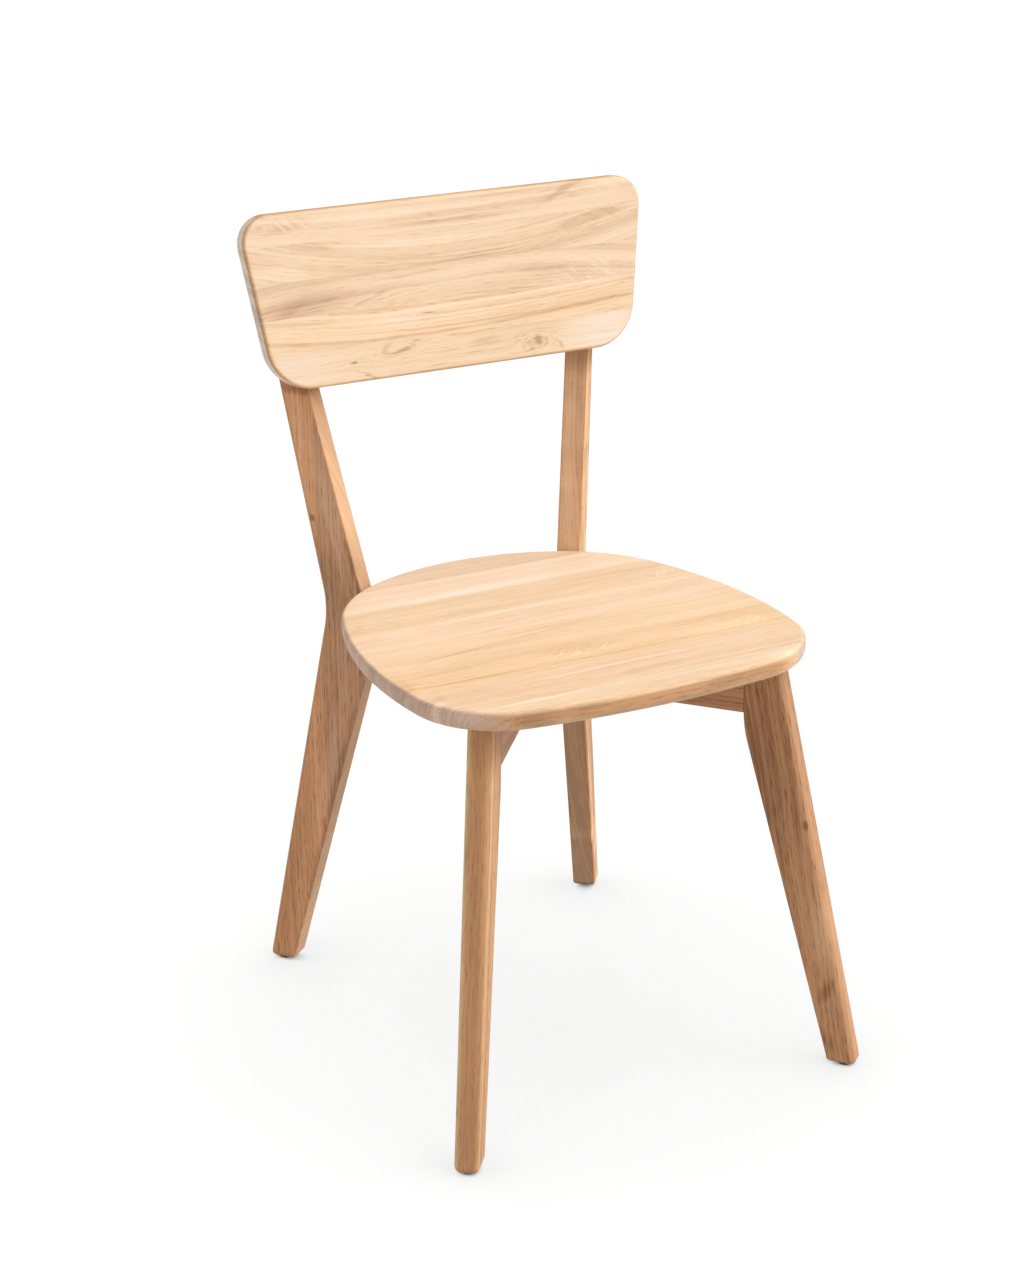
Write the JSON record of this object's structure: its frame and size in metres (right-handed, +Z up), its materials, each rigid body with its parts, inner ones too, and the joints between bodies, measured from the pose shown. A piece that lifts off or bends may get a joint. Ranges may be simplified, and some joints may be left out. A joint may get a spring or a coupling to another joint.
{
  "type": "dining chair",
  "caption": "Solid oak dining chair with a rounded seat, a leaning trapezoid backrest and splayed board legs joined by crossing rails.",
  "frame": {"origin": "on the floor, midway between the feet from side to side and from front to back", "axes": "+X to the sitter's left, -Y to the front, where the sitter faces, +Z up"},
  "size_m": [0.4634, 0.5274, 0.8407],
  "materials": {
    "oak_seat": "oiled, matt",
    "oak_backrest": "oiled, matt",
    "oak_frame": "oiled, matt",
    "beech_dowel": "plain, fluted",
    "steel_screw": "zinc plated",
    "nylon_glide": "moulded, matt"
  },
  "bodies": {
    "root": {"seat_stave_1": "oak_seat", "seat_stave_2": "oak_seat", "seat_stave_3": "oak_seat", "seat_stave_4": "oak_seat", "seat_stave_5": "oak_seat", "seat_stave_6": "oak_seat", "seat_stave_7": "oak_seat", "seat_stave_8": "oak_seat", "back_stave_1": "oak_backrest", "back_stave_2": "oak_backrest", "back_stave_3": "oak_backrest", "back_stave_4": "oak_backrest", "back_stave_5": "oak_backrest", "front_left_leg": "oak_frame", "front_right_leg": "oak_frame", "rear_left_leg": "oak_frame", "rear_right_leg": "oak_frame", "left_front_rail": "oak_frame", "right_front_rail": "oak_frame", "rail_dowels": "beech_dowel", "back_dowels": "beech_dowel", "seat_screws": "steel_screw", "glides": "nylon_glide"}
  },
  "joints": []
}
